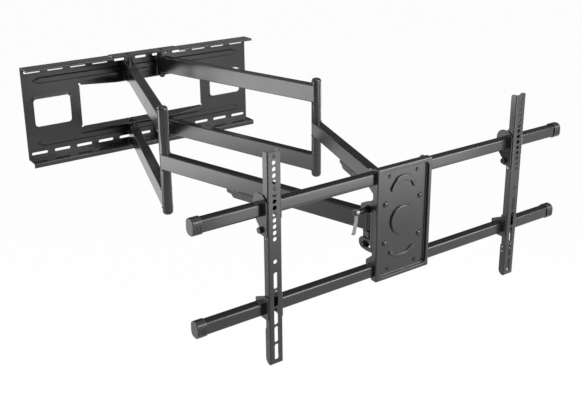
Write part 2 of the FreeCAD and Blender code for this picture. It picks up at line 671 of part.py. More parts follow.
def tilt_clamp_bolt():
    """Long cross bolt of the tilt axis, with its head at the right."""
    y = back(TILT_BACK)
    outside = LEVER_X - LEVER_HUB_W - 0.3
    shank = crosswise(y, TILT_Z, outside, CHEEK_OUT + 0.2, TILT_BOLT_R)
    shank = shank.fuse(crosswise(y, TILT_Z, outside - 3, outside, LEVER_CAP_R))
    head = hexagon(0, 0, 0, CROSS_HEAD_H, CROSS_HEAD_R)
    head = turned(head, 0, 0, 0, Y_AXIS, 90)
    head.translate(V(CHEEK_OUT + 0.2, y, TILT_Z))
    return shank.fuse(head)


def tilt_clamp_nut():
    """Flanged clamp nut between the left cheek and the lever."""
    y = back(TILT_BACK)
    outer = -CHEEK_OUT - 0.2
    inner_end = outer - CLAMP_NUT_FLANGE - CLAMP_NUT_H
    flange = crosswise(y, TILT_Z, outer - CLAMP_NUT_FLANGE, outer, CLAMP_NUT_FLANGE_R)
    body = turned(hexagon(0, 0, 0, CLAMP_NUT_H, CLAMP_NUT_R), 0, 0, 0, Y_AXIS, 90)
    body.translate(V(inner_end, y, TILT_Z))
    collar = crosswise(y, TILT_Z, LEVER_X + 0.2, inner_end, CLAMP_COLLAR_R)
    return flange.fuse([body, collar]).cut(crosswise(y, TILT_Z, LEVER_X, outer + 1, TILT_BOLT_R))


def tilt_guide_bolts():
    """Short bolts through the yoke's lower ears and the slotted quadrants, heads outwards."""
    y = back(GUIDE_BACK)
    inside = YOKE_HALF_W - YOKE_T
    shank = crosswise(y, GUIDE_Z, inside - GUIDE_NUT_H - GUIDE_END, CHEEK_OUT + 0.3, GUIDE_BOLT_R)
    washer = crosswise(y, GUIDE_Z, CHEEK_OUT + 0.3, CHEEK_OUT + 1.8, 2 * GUIDE_BOLT_R)
    head = turned(hexagon(0, 0, 0, GUIDE_HEAD_H, GUIDE_HEAD_R), 0, 0, 0, Y_AXIS, 90)
    head.translate(V(CHEEK_OUT + 1.8, y, GUIDE_Z))
    right = shank.fuse([washer, head])
    return Part.makeCompound([right, mirrored(right)])


def tilt_guide_nuts():
    y = back(GUIDE_BACK)
    inside = YOKE_HALF_W - YOKE_T
    nut = turned(hexagon(0, 0, 0, GUIDE_NUT_H, GUIDE_NUT_R), 0, 0, 0, Y_AXIS, 90)
    nut.translate(V(inside - GUIDE_NUT_H, y, GUIDE_Z))
    nut = nut.cut(crosswise(y, GUIDE_Z, inside - GUIDE_NUT_H - 1, inside + 1, GUIDE_BOLT_R))
    return Part.makeCompound([nut, mirrored(nut)])


def clamp_lever():
    """Bright hand lever on the left end of the tilt bolt, hanging down."""
    y = back(TILT_BACK)
    hub = crosswise(y, TILT_Z, LEVER_X - LEVER_HUB_W, LEVER_X, LEVER_HUB_R)
    near = LEVER_X - LEVER_HUB_W / 2 + LEVER_T / 2
    far = near - LEVER_T
    low = TILT_Z - LEVER_DROP
    knee = TILT_Z - 0.4 * LEVER_DROP
    outline = [(near, TILT_Z - 2), (far, TILT_Z - 2), (far, knee), (far - LEVER_FLARE, low),
               (far - LEVER_FLARE - 2.5, low - 2.5), (near - LEVER_FLARE, low - 2.5), (near, knee)]
    blade = front_prism(outline, [0, 0, 6, 1, 0, 1, 6], y - LEVER_HALF_W, y + LEVER_HALF_W)
    bore = crosswise(y, TILT_Z, LEVER_X - LEVER_HUB_W - 1, LEVER_X + 1, TILT_BOLT_R + RUN_GAP)
    return hub.fuse(blade).cut(bore)


def tilt_cheek():
    """Right cheek of the tilt bracket: strip, upper lug and slotted quadrant."""
    x0 = CHEEK_IN
    x1 = CHEEK_OUT
    y = back(TILT_BACK)
    strip = block(x0, x1, back(WEB_FRONT), back(WEB_FRONT + CHEEK_STRIP), WEB_BOTTOM, LUG_SHOULDER_Z)
    end_r = (LUG_END_TOP - LUG_BOTTOM) / 2 - 0.1
    lug = side_prism([(back(WEB_FRONT), LUG_BOTTOM), (back(LUG_BACK), LUG_BOTTOM), (back(LUG_BACK), LUG_END_TOP),
                      (back(LUG_SHOULDER_BACK), LUG_SHOULDER_Z), (back(WEB_FRONT), LUG_TOP)],
                     [0, end_r, end_r, 9, 0], x0, x1)
    outer = GUIDE_RADIUS + QUADRANT_HALF
    inner = GUIDE_RADIUS - QUADRANT_HALF
    plumb = -90 + GUIDE_LEAN
    quadrant = arc_band(y, TILT_Z, GUIDE_RADIUS, QUADRANT_HALF, plumb - TILT_FORWARD - 12, plumb + TILT_REARWARD - 1,
                        lambda u, v: V(x0, u, v), V(x1 - x0, 0, 0))
    quadrant = quadrant.common(block(x0 - 1, x1 + 1, back(WEB_FRONT), back(WEB_FRONT) + outer, WEB_BOTTOM - outer,
                                     LUG_BOTTOM))
    edge = math.asin((TILT_BACK - WEB_FRONT) / outer)
    root = side_prism([(back(WEB_FRONT), TILT_Z - outer * math.cos(edge)), (back(WEB_FRONT), TILT_Z - inner + 2),
                       (back(WEB_FRONT + CHEEK_STRIP + 8), TILT_Z - inner + 1),
                       (back(WEB_FRONT + CHEEK_STRIP + 8), TILT_Z - outer + 1)], 0, x0, x1)
    slot = arc_band(y, TILT_Z, GUIDE_RADIUS, GUIDE_BOLT_R + RUN_GAP, plumb - TILT_FORWARD - 0.3,
                    plumb + TILT_REARWARD + 0.3, lambda u, v: V(x0 - 1, u, v), V(x1 - x0 + 2, 0, 0))
    cheek = strip.fuse([lug, quadrant, root])
    return cheek.cut([slot, crosswise(y, TILT_Z, x0 - 1, x1 + 1, TILT_BOLT_R + RUN_GAP)])


def tilt_bracket():
    """Web behind the head plate with its two cheeks, one folded sheet."""
    web = front_prism([(-WEB_HALF, WEB_BOTTOM), (WEB_HALF, WEB_BOTTOM), (WEB_HALF, WEB_NOTCH_TOP),
                       (CHEEK_OUT, WEB_NOTCH_TOP), (CHEEK_OUT, WEB_TOP), (-CHEEK_OUT, WEB_TOP),
                       (-CHEEK_OUT, WEB_NOTCH_TOP), (-WEB_HALF, WEB_NOTCH_TOP)],
                      [6, 6, 4, 0, 3, 3, 0, 4], back(WEB_FRONT), back(WEB_REAR))
    cheek = tilt_cheek()
    bracket = web.fuse([cheek, mirrored(cheek)])
    cuts = [endwise(0, 0, back(WEB_FRONT) - 1, back(WEB_REAR) + 1, LEVEL_PIVOT_R + RUN_GAP)]
    reach = math.hypot(LEVEL_BOLT_X, LEVEL_BOLT_Z)
    for side in (-1, 1):
        for level in (-1, 1):
            angle = math.degrees(math.atan2(level * LEVEL_BOLT_Z, side * LEVEL_BOLT_X))
            cuts.append(arc_band(0, 0, reach, LEVEL_BOLT_R + RUN_GAP, angle - LEVEL_ANGLE - 0.3,
                                 angle + LEVEL_ANGLE + 0.3, lambda u, v: V(u, back(WEB_FRONT) - 1, v),
                                 V(0, WEB_T + 2, 0)))
    return bracket.cut(cuts)


def level_spacer():
    """Bearing ring between the head plate's panel and the web."""
    outer = endwise(0, 0, back(PANEL_BACK + FACE_GAP), back(WEB_FRONT), SPACER_R)
    return outer.cut(endwise(0, 0, back(0), back(WEB_REAR), LEVEL_PIVOT_R + RUN_GAP))


def head_plate():
    """Pressed pan with a raised rim, sunk panel, centre disc and two curved ridges."""
    half_w = HEAD_W / 2
    half_h = HEAD_H / 2
    body = block(-half_w, half_w, back(0), back(HEAD_FLANGE), -half_h, half_h)
    front_edges = [e for e in body.Edges if abs(e.BoundBox.YMax - back(0)) < 0.01]
    upright_edges = [e for e in body.Edges if e.BoundBox.YLength > HEAD_FLANGE - 0.1]
    body = body.makeFillet(3.0, front_edges + upright_edges)
    pan = body.cut(block(-half_w + HEAD_T, half_w - HEAD_T, back(HEAD_T), back(HEAD_FLANGE + 1),
                         -half_h + HEAD_T, half_h - HEAD_T))
    panel_w = half_w - HEAD_RIM
    panel_h = half_h - HEAD_RIM
    collar = front_prism(rectangle(panel_w + HEAD_T, panel_h + HEAD_T), PANEL_R + HEAD_T, back(HEAD_T / 2),
                         back(PANEL_BACK))
    rail_cuts = []
    for side in (-1, 1):
        x0 = min(side * half_w, side * (half_w - HEAD_T))
        for level in (-1, 1):
            rail_cuts.append(side_prism(rectangle(RAIL_D / 2, RAIL_H / 2, back((RAIL_FRONT + RAIL_REAR) / 2),
                                                  level * RAIL_Z), RAIL_R, x0 - 1, x0 + HEAD_T + 1))
    pan = pan.fuse(collar)
    recess = front_prism(rectangle(panel_w, panel_h), PANEL_R, back(-1), back(PANEL_FRONT))
    pan = pan.cut([recess] + rail_cuts)
    disc = endwise(0, 0, back(PANEL_FRONT - DISC_RISE), back(PANEL_BACK), DISC_R)
    disc = disc.makeFillet(DISC_EDGE, [e for e in disc.Edges if abs(e.BoundBox.YMax - back(PANEL_FRONT - DISC_RISE)) < 0.01
                                 and e.BoundBox.XLength > DISC_R])
    ridge_y = back(PANEL_FRONT - ARCH_RISE)
    along = V(0, ARCH_RISE + 0.5, 0)

    def put(u, v):
        return V(u, ridge_y, v)

    ridges = [arc_band(0, ARCH_Z, ARCH_R, ARCH_HALF_W, 90 - ARCH_SWEEP, 90 + ARCH_SWEEP, put, along),
              arc_band(0, ARCH_Z, ARCH_R, ARCH_CREST_HALF_W, 90 - CREST_SWEEP, 90 + CREST_SWEEP, put, along),
              arc_band(0, -LOW_ARCH_Z, LOW_ARCH_R, ARCH_HALF_W, -90 - LOW_ARCH_SWEEP, -90 + LOW_ARCH_SWEEP, put, along)]
    rounded = [r.makeFillet(ARCH_EDGE, [e for e in r.Edges if e.BoundBox.YMax < ridge_y + 0.01]) for r in ridges]
    pan = pan.fuse([disc] + rounded)
    holes = [endwise(0, 0, back(PANEL_FRONT - 1), back(PANEL_BACK) + 1, LEVEL_PIVOT_R)]
    for side in (-1, 1):
        for level in (-1, 1):
            holes.append(endwise(side * LEVEL_BOLT_X, level * LEVEL_BOLT_Z, back(0), back(PANEL_BACK) + 1,
                                 LEVEL_BOLT_R))
            holes.append(endwise(side * RAIL_SCREW_X, level * RAIL_Z, back(0), back(PANEL_BACK) + 1, RAIL_SCREW_R))
    return pan.cut(holes)


def rail_ears():
    """Four plates welded inside the head plate's side flanges; each rail passes through two of them."""
    outer = HEAD_W / 2 - HEAD_T
    middle = back((RAIL_FRONT + RAIL_REAR) / 2)
    outline = [(back(EAR_ROOT), RAIL_Z + EAR_PAST), (back(EAR_BACK), RAIL_Z + EAR_PAST),
               (back(EAR_BACK), RAIL_Z - EAR_PAST), (back(HEAD_FLANGE + 2), RAIL_Z - EAR_INWARD),
               (back(EAR_ROOT), RAIL_Z - EAR_INWARD)]
    plate = side_prism(outline, [0, 9, 6, 2, 0], outer - EAR_T, outer)
    hole = side_prism(rectangle(RAIL_D / 2, RAIL_H / 2, middle, RAIL_Z), RAIL_R, outer - EAR_T - 1, outer + 1)
    ear = plate.cut(hole)
    return Part.makeCompound([ear, lowered(ear), mirrored(ear), mirrored(lowered(ear))])


def level_pivot():
    """Centre rivet that the head plate turns on when the screen is levelled."""
    shank = endwise(0, 0, back(PANEL_FRONT - 1), back(WEB_REAR + 0.2), LEVEL_PIVOT_R)
    return shank.fuse(endwise(0, 0, back(WEB_REAR + 0.2), back(WEB_REAR + 3.2), LEVEL_PIVOT_R + 6))


def level_bolts():
    """Four round-headed bolts through the panel and the slots of the web."""
    bolts = []
    for side in (-1, 1):
        for level in (-1, 1):
            x = side * LEVEL_BOLT_X
            z = level * LEVEL_BOLT_Z
            ball = (LEVEL_HEAD_R ** 2 + LEVEL_HEAD_H ** 2) / (2 * LEVEL_HEAD_H)
            head = Part.makeSphere(ball, V(x, back(PANEL_FRONT - LEVEL_HEAD_H + ball), z))
            head = head.common(endwise(x, z, back(PANEL_FRONT - LEVEL_HEAD_H - 1), back(PANEL_FRONT), LEVEL_HEAD_R))
            bolts.append(head.fuse(endwise(x, z, back(PANEL_FRONT), back(WEB_REAR + 6), LEVEL_BOLT_R)))
    return Part.makeCompound(bolts)


def level_nuts():
    nuts = []
    for side in (-1, 1):
        for level in (-1, 1):
            nut = turned(hexagon(0, 0, 0, 4.5, 6.2), 0, 0, 0, X_AXIS, -90)
            nut.translate(V(side * LEVEL_BOLT_X, back(WEB_REAR + 0.3), level * LEVEL_BOLT_Z))
            nuts.append(nut.cut(endwise(side * LEVEL_BOLT_X, level * LEVEL_BOLT_Z, back(0), back(40), LEVEL_BOLT_R)))
    return Part.makeCompound(nuts)


def rail_screws():
    """Small button screws that hold the rails against the panel."""
    screws = []
    for side in (-1, 1):
        for level in (-1, 1):
            x = side * RAIL_SCREW_X
            z = level * RAIL_Z
            head = Part.makeCone(3.0, 4.6, 2.4, V(x, back(PANEL_FRONT - 2.4), z), Y_AXIS)
            screw = head.fuse(endwise(x, z, back(PANEL_FRONT), back(RAIL_FRONT + RAIL_WALL + 3), RAIL_SCREW_R))
            screws.append(screw.cut(endwise(x, z, back(PANEL_FRONT - 3), back(PANEL_FRONT - 1), 1.6)))
    return Part.makeCompound(screws)


def rail():
    """Upper rail: rounded rectangular tube behind the head plate."""
    end = RAIL_SPAN / 2 - CAP_END
    middle = back((RAIL_FRONT + RAIL_REAR) / 2)
    tube = side_prism(rectangle(RAIL_D / 2, RAIL_H / 2, middle, RAIL_Z), RAIL_R, -end, end)
    bore = side_prism(rectangle(RAIL_D / 2 - RAIL_WALL, RAIL_H / 2 - RAIL_WALL, middle, RAIL_Z),
                      RAIL_R - RAIL_WALL, -end - 1, end + 1)
    screws = [endwise(side * RAIL_SCREW_X, RAIL_Z, back(RAIL_FRONT) - 1, back(RAIL_FRONT + RAIL_WALL) + 1,
                      RAIL_SCREW_R) for side in (-1, 1)]
    return tube.cut([bore] + screws)


def rail_cap():
    """Moulded cap on the right end of the upper rail, with its latch window at the front."""
    end = RAIL_SPAN / 2
    start = end - CAP_LENGTH
    middle = back((RAIL_FRONT + RAIL_REAR) / 2)
    half_d = RAIL_D / 2 + CAP_WALL_D
    half_h = RAIL_H / 2 + CAP_WALL_H
    body = side_prism(rectangle(half_d, half_h, middle, RAIL_Z), CAP_R, start, end)
    body = body.makeFillet(1.4, [e for e in body.Edges if e.BoundBox.XMin > end - 0.01])
    socket = side_prism(rectangle(RAIL_D / 2, RAIL_H / 2, middle, RAIL_Z), RAIL_R, start - 1, end - CAP_END)
    window = block(start + 5, start + 13, middle - half_d - 1, middle - half_d + 1.0, RAIL_Z - 7, RAIL_Z + 3)
    tongue = block(start + 7, start + 11.5, middle - half_d + 0.2, middle - half_d + 1.4, RAIL_Z - 5, RAIL_Z + 0.5)
    return body.cut([socket, window]).fuse(tongue)


def tv_hole_heights():
    top = BRACKET_L / 2 - HOLE_EDGE
    return [top - i * HOLE_PITCH for i in range(HOLE_COUNT)] + [0.0]


def tv_slot_heights():
    lowest = -BRACKET_L / 2 + HOLE_EDGE + TV_SLOT_L / 2
    return [lowest + i * TV_SLOT_PITCH for i in range(TV_SLOT_COUNT)]


def tv_bracket():
    """Right upright bracket: channel open to the back, with round holes above and slots below."""
    half_w = BRACKET_W / 2
    half_l = BRACKET_L / 2
    y0 = back(BRACKET_FRONT)
    y1 = back(BRACKET_FRONT + BRACKET_FLANGE)
    x0 = BRACKET_X - half_w
    x1 = BRACKET_X + half_w
    inner = 0.8
    outer = inner + BRACKET_T
    section = [(x0, y1), (x0, y0), (x1, y0), (x1, y1), (x1 - BRACKET_T, y1), (x1 - BRACKET_T, y0 + BRACKET_T),
               (x0 + BRACKET_T, y0 + BRACKET_T), (x0 + BRACKET_T, y1)]
    channel = plan_prism(section, [0, outer, outer, 0, 0, inner, inner, 0], -half_l, half_l)
    middle = (y0 + y1) / 2
    side_shape = side_prism(rectangle(BRACKET_FLANGE / 2, half_l, middle, 0), [2, 12, 6, 2], x0 - 1, x1 + 1)
    channel = channel.common(side_shape)
    cuts = [endwise(BRACKET_X, z, y0 - 1, y0 + BRACKET_T + 1, HOLE_D / 2) for z in tv_hole_heights()]
    cuts += [long_slot(BRACKET_X, z, TV_SLOT_L, HOLE_D, y0 - 1, y0 + BRACKET_T + 1, True)
             for z in tv_slot_heights()]
    notch_top = -RAIL_Z - RAIL_H / 2 - 6
    cuts.append(side_prism([(y1 - 2.5, notch_top - 22), (y1 + 2, notch_top - 22), (y1 + 2, notch_top),
                            (y1 - 2.5, notch_top)], [2, 0, 0, 2], x0 - 1, x1 + 1))
    for drop in (27.0, 38.0):
        cuts.append(crosswise(y1 - 5, notch_top - drop, x0 - 1, x1 + 1, 1.8))
    cuts.append(crosswise(y1 - 3.5, RAIL_Z - LEG_BOTTOM - 6, x0 - 1, x1 + 1, 2.4))
    return channel.cut(cuts)


def clamp_plate(outline, radii, side, rail_z):
    """One side plate of a clamp with its hole for the rail, on the left bracket."""
    inner = BRACKET_W / 2
    x0 = -BRACKET_X + min(side * inner, side * (inner + CLAMP_T))
    plate = side_prism([(back(u), rail_z + v) for u, v in outline], radii, x0, x0 + CLAMP_T)
    hole = side_prism(rectangle(RAIL_D / 2 + CLAMP_GAP, RAIL_H / 2 + CLAMP_GAP, back((RAIL_FRONT + RAIL_REAR) / 2),
                                rail_z), RAIL_R + CLAMP_GAP, x0 - 1, x0 + CLAMP_T + 1)
    return plate.cut(hole)


def clamp_bridge(rail_z, height):
    """Cross tab that joins the two side plates above the rail."""
    flange_end = BRACKET_FRONT + BRACKET_FLANGE
    return block(-BRACKET_X - BRACKET_W / 2, -BRACKET_X + BRACKET_W / 2, back(flange_end), back(flange_end + 14),
                 rail_z + height, rail_z + height + CLAMP_T)


def upper_clamp():
    """Round-topped saddle round the upper rail; its left plate has a leg for the locking screw."""
    outline = [(CLAMP_FRONT, -CLAMP_FALL), (CLAMP_FRONT, CLAMP_RISE), (CLAMP_BACK, CLAMP_RISE),
               (CLAMP_BACK, -CLAMP_FALL)]
    radii = [3, 18, 20, 5]
    left = clamp_plate(outline, radii, -1, RAIL_Z)
    right = clamp_plate(outline, radii, 1, RAIL_Z)
    x0 = -BRACKET_X - BRACKET_W / 2 - CLAMP_T
    inside = CLAMP_FALL - 3
    leg = side_prism([(back(CLAMP_FRONT), RAIL_Z - LEG_BOTTOM), (back(LEG_BACK), RAIL_Z - LEG_BOTTOM),
                      (back(LEG_BACK), RAIL_Z - LEG_BOTTOM + 12), (back(LEG_SHOULDER_BACK), RAIL_Z - LEG_SHOULDER),
                      (back(LEG_SHOULDER_BACK), RAIL_Z - inside), (back(CLAMP_FRONT), RAIL_Z - inside)],
                     [3, 3, 6, 4, 0, 0], x0, x0 + CLAMP_T)
    clamp = left.fuse([leg, right, clamp_bridge(RAIL_Z, RAIL_H / 2 + 4)])
    return clamp.cut(crosswise(back(KNOB_BACK), RAIL_Z - KNOB_DROP, x0 - 1, x0 + CLAMP_T + 1, SAFETY_SCREW_R))


def lower_clamp():
    """Saddle with a chamfered top round the lower rail."""
    outline = [(CLAMP_FRONT, -CLAMP_FALL), (CLAMP_FRONT, CLAMP_RISE), (10, CLAMP_RISE - 2), (CLAMP_BACK - 2, 16),
               (CLAMP_BACK - 2, -CLAMP_FALL + 4), (28, -CLAMP_FALL)]
    radii = [2, 4, 2, 2, 4, 4]
    plates = [clamp_plate(outline, radii, side, -RAIL_Z) for side in (-1, 1)]
    return plates[0].fuse([plates[1], clamp_bridge(-RAIL_Z, RAIL_H / 2 + 4)])


def safety_screw():
    """Knurled locking screw through the leg of the left upper clamp, with its nut inside."""
    y = back(KNOB_BACK)
    z = RAIL_Z - KNOB_DROP
    outside = -BRACKET_X - BRACKET_W / 2 - CLAMP_T
    inside = outside + CLAMP_T
    head = crosswise(y, z, outside - SAFETY_HEAD_H, outside, SAFETY_HEAD_R)
    groove_r = SAFETY_HEAD_R + 0.4
    grooves = [crosswise(y + groove_r * math.cos(math.radians(30 * i)), z + groove_r * math.sin(math.radians(30 * i)),
                         outside - SAFETY_HEAD_H - 1, outside - 1.2, 0.9) for i in range(12)]
    nut = turned(hexagon(0, 0, 0, SAFETY_NUT_H, SAFETY_NUT_R), 0, 0, 0, Y_AXIS, 90)
    nut.translate(V(inside, y, z))
    shank = crosswise(y, z, outside, inside + SAFETY_NUT_H + 1, SAFETY_SCREW_R)
    return head.cut(grooves).fuse([shank, nut])


def save(name, shape):
    """Write one node; loose solids go in as a compound."""
    if shape.ShapeType in ("Compound", "Solid") and len(shape.Solids) == 1:
        shape = shape.Solids[0]
    shape.exportStep(os.path.join("parts", name + ".step"))


def save_pair(name, shape):
    """Write a left piece and its mirror image on the right."""
    save(name + "_left", shape)
    save(name + "_right", mirrored(shape))


def build_wall_group():
    save("wall_plate", wall_plate())
    save("upper_doubler", doubler())
    save("lower_doubler", lowered(doubler()))
    save("wall_pivot_bolts", wall_pivot_bolts())
    save("wall_pivot_washers", wall_pivot_washers())


def build_arms():
    bar = inner_arm_bar()
    save_pair("inner_upper_arm", place_inner(bar))
    save_pair("inner_lower_arm", place_inner(lowered(bar)))
    bushes = wall_bushes()
    save_pair("wall_bushes", place_inner(Part.makeCompound(bushes + [lowered(b) for b in bushes])))
    pin = upright(ARM_LENGTH, 0, -ELBOW_KNUCKLE_HIGH, ELBOW_KNUCKLE_HIGH, ELBOW_PIN_R)
    save_pair("elbow_pin", place_inner(pin))
    cap = elbow_cap()
    cap.translate(V(ARM_LENGTH, 0, 0))
    save_pair("elbow_caps", place_inner(Part.makeCompound([cap, lowered(cap)])))
    save_pair("outer_arm", place_outer(outer_arm()))
    save_pair("elbow_bushes", place_outer(elbow_bushes()))
    save("head_bushes_left", place_outer(head_bushes(RUN_GAP)))
    save("head_bushes_right", mirrored(place_outer(head_bushes(OPEN_PIVOT_GAP))))
    save_pair("cable_cover", place_outer(cable_cover()))


def build_head():
    save("head_yoke", head_yoke())
    save("head_pins", head_pins())
    save("tilt_clamp_bolt", tilt_clamp_bolt())
    save("tilt_clamp_nut", tilt_clamp_nut())
    save("tilt_guide_bolts", tilt_guide_bolts())
    save("tilt_guide_nuts", tilt_guide_nuts())
    save("clamp_lever", clamp_lever())
    save("tilt_bracket", tilt_bracket())
    save("level_spacer", level_spacer())


def build_screen_frame():
    save("head_plate", head_plate())
    save("rail_ears", rail_ears())
    save("level_pivot", level_pivot())
    save("level_bolts", level_bolts())
    save("level_nuts", level_nuts())
    save("rail_screws", rail_screws())
    save("upper_rail", rail())
    save("lower_rail", lowered(rail()))
    cap = rail_cap()
    drop = V(0, 0, -2 * RAIL_Z)
    low_cap = cap.copy()
    low_cap.translate(drop)
    save("rail_end_caps", Part.makeCompound([cap, mirrored(cap), low_cap, mirrored(low_cap)]))


def build_brackets():
    """The two brackets are the same part, so the right one is the left one moved along the rails."""
    for name, shape in (("tv_bracket", mirrored(tv_bracket())), ("upper_clamp", upper_clamp()),
                        ("lower_clamp", lower_clamp()), ("safety_screw", safety_screw())):
        save(name + "_left", shape)
        right = shape.copy()
        right.translate(V(2 * BRACKET_X, 0, 0))
        save(name + "_right", right)


os.makedirs("parts", exist_ok=True)
build_wall_group()
build_arms()
build_head()
build_screen_frame()
build_brackets()
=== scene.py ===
import json
import math

import bmesh
import bpy
from bpy.props import FloatProperty, FloatVectorProperty, IntProperty, PointerProperty
from bpy.types import Operator, Panel, PropertyGroup
from mathutils import Matrix, Vector


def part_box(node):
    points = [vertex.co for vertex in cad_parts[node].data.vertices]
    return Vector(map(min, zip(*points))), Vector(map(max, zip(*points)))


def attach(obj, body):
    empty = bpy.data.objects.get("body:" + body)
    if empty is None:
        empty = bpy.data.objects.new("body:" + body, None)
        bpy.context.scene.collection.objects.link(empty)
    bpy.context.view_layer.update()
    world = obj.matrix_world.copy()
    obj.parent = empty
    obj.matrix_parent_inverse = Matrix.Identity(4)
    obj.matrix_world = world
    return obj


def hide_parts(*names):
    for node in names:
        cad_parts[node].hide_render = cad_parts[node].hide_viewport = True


bl_info = {
    "name": "Folding screen mount",
    "version": (1, 0, 0),
    "blender": (4, 5, 0),
    "location": "View3D > Sidebar > Screen mount",
    "description": "Finishes and small details of a folding wall mount for a screen",
    "category": "Object",
}

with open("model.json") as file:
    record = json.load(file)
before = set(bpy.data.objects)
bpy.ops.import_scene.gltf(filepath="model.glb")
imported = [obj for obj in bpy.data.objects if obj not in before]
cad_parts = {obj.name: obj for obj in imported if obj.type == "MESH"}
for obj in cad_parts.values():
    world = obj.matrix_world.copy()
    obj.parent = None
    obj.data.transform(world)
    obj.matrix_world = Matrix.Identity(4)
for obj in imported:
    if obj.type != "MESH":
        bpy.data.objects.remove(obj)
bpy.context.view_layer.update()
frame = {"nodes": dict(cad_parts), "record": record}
BODIES = frame["record"]["behaviour"]["bodies"]
BODY_OF = {node: body for body, nodes in BODIES.items() for node in nodes}
SIDES = ("left", "right")

# Sizes of the part that the weld seams and the pressed rim follow, in metres.
TUBE_R = 0.0135               # radius of the upright knuckle tubes
INNER_BAR = (0.076, 0.124)    # lower and upper face of an upper inner bar
OUTER_BAR = 0.020             # half height of an outer bar
PANEL_HALF = (0.065, 0.1155)  # half width and half height of the sunk panel
PANEL_CORNER = 0.011          # radius of the panel's corners
PANEL_RIM = 0.0014            # rounding of the pressed rim round the panel
SEAM_LIFT = 0.0004            # distance of a seam's middle line from the metal
SEAM_STEPS = 12               # path steps to each side of a bar

# Edge rounding of the pieces that don't take the add-on's own value, in metres.
AS_BUILT = 0                  # curved by construction, or with the radius in the solid
EDGE_FINE = 0.0002            # pressed pan and small screws
EDGE_THIN = 0.0003            # thin sheet, caps and head pins
EDGE_FULL = 0.0004            # thick sheet, bolts and the lever

# Limits for the work on the solids' meshes: lengths in metres, and turns between two faces.
MERGE = 0.000002              # points closer than this are one
NEAR = 0.0001                 # a point this near to the panel's outline lies on it
SAME_DEPTH = 0.00001          # an edge that changes its depth by less runs along the outline
RIM_TURN = math.radians(60)   # edges of the rim turn by more
FLAT_TURN = math.radians(0.3)  # faces that turn by less are one flat field
BEVEL_TURN = math.radians(40)  # edges that turn by more are rounded
TURN_BUILT = math.radians(32)  # shading is smooth over smaller turns, as built
TURN_ROUNDED = math.radians(48)  # and over these once the edges are rounded
FLAT_WEIGHT = 70              # how much large faces decide the shading

# Camera worked out from measured corners of the mount in the photograph.
EYE = (-1.136, -2.469, 0.718)
YAW, PITCH, ROLL = math.radians(34.67), math.radians(18.61), math.radians(-0.48)
PHOTO_W, PHOTO_H = 582, 400   # pixels
FOCAL = 870                   # focal length in pixels
AXIS_ROW = 148                # picture row that the camera's axis meets
SENSOR = 36                   # millimetres
VIEW_END = 100                # metres

# Soft boxes: name, place, aim, width and height, and the look's value that holds the power.
SOFT_BOXES = (
    ("low_left_box", (-2.1, 0.4, -0.5), (0, -0.6, 0), (1.3, 0.7), "side"),
    ("high_front_box", (1.32, -2.7, 1.05), (1.32, -1.2, 0.1), (1.9, 0.9), "high"),
    ("top_left_box", (-0.7, -1.8, 2.1), (0, -1.2, 0), (0.5, 0.5), "top"),
    ("low_front_box", (0.66, -2.2, -0.07), (0.66, -1.2, -0.07), (1.15, 0.7), "front"),
    ("right_strip", (2.6, -1.3, -0.2), (0, -1.2, 0), (0.35, 1.0), "strip"),
    ("back_box", (-1.5, 3.2, 1.3), (0, 0, 0), (1.2, 1.2), "back"),
    ("back_left_strip", (-2.1, 1.25, 1.7), (0, -0.5, 0), (0.9, 0.3), "rim"),
)
FLOOR_HALF = 14.0
FULL_WHITE = 0.97             # share of plain white in the floor, for the camera and the metal

# What reflections show: a white backdrop up to 5 degrees, a dark band from 13 to 30, and a bright
# ceiling from 50. The world's shader reads them as heights on a ball.
BACKDROP_TOP, BAND_FROM, BAND_TO, CEILING_FROM = [
    math.sin(math.radians(up)) for up in (5, 13, 30, 50)]


def linear(code):
    """sRGB hex to linear RGBA."""
    parts = [int(code[i:i + 2], 16) / 255 for i in (1, 3, 5)]
    return tuple(p / 12.92 if p <= 0.04045 else ((p + 0.055) / 1.055) ** 2.4
                 for p in parts) + (1.0,)


class MountFinish(PropertyGroup):
    """Colours and edge softness of the finished pieces."""
    coat: FloatVectorProperty(
        name="Powder coat", description="Colour of the coated steel",
        subtype="COLOR", size=4, min=0, max=1, default=linear("#232325"))
    gloss: FloatVectorProperty(
        name="Glossy plastic", description="Colour of the end caps and the locking screws",
        subtype="COLOR", size=4, min=0, max=1, default=linear("#18181a"))
    cover: FloatVectorProperty(
        name="Cover plastic", description="Colour of the cable covers",
        subtype="COLOR", size=4, min=0, max=1, default=linear("#303032"))
    zinc: FloatVectorProperty(
        name="Bright zinc", description="Colour of the clamp lever",
        subtype="COLOR", size=4, min=0, max=1, default=linear("#787877"))
    black_steel: FloatVectorProperty(
        name="Blackened steel", description="Colour of the dark bolts and nuts",
        subtype="COLOR", size=4, min=0, max=1, default=linear("#333335"))
    bush: FloatVectorProperty(
        name="Bush plastic", description="Colour of the bushes between the knuckles",
        subtype="COLOR", size=4, min=0, max=1, default=linear("#222223"))
    edge: FloatProperty(
        name="Edge radius", description="Rounding of pressed and cut edges",
        subtype="DISTANCE", unit="LENGTH", min=0, max=0.002, default=0.0005)


class MountDetail(PropertyGroup):
    """Sizes of the weld seams."""
    weld_pitch: FloatProperty(
        name="Weld ripple", description="Distance between two ripples of a weld seam",
        unit="LENGTH", min=0.001, max=0.01, default=0.0022)
    weld_radius: FloatProperty(
        name="Weld radius", description="Radius of a weld seam",
        unit="LENGTH", min=0.0005, max=0.004, default=0.0016)
    weld_sweep: FloatProperty(
        name="Weld sweep", description="Angle that a seam covers to each side of its bar",
        subtype="ANGLE", unit="ROTATION", min=0.2, max=1.6, default=math.radians(84))
    weld_seed: IntProperty(
        name="Weld variation", description="Seed of the ripples' uneven sizes",
        min=0, max=999, default=7)


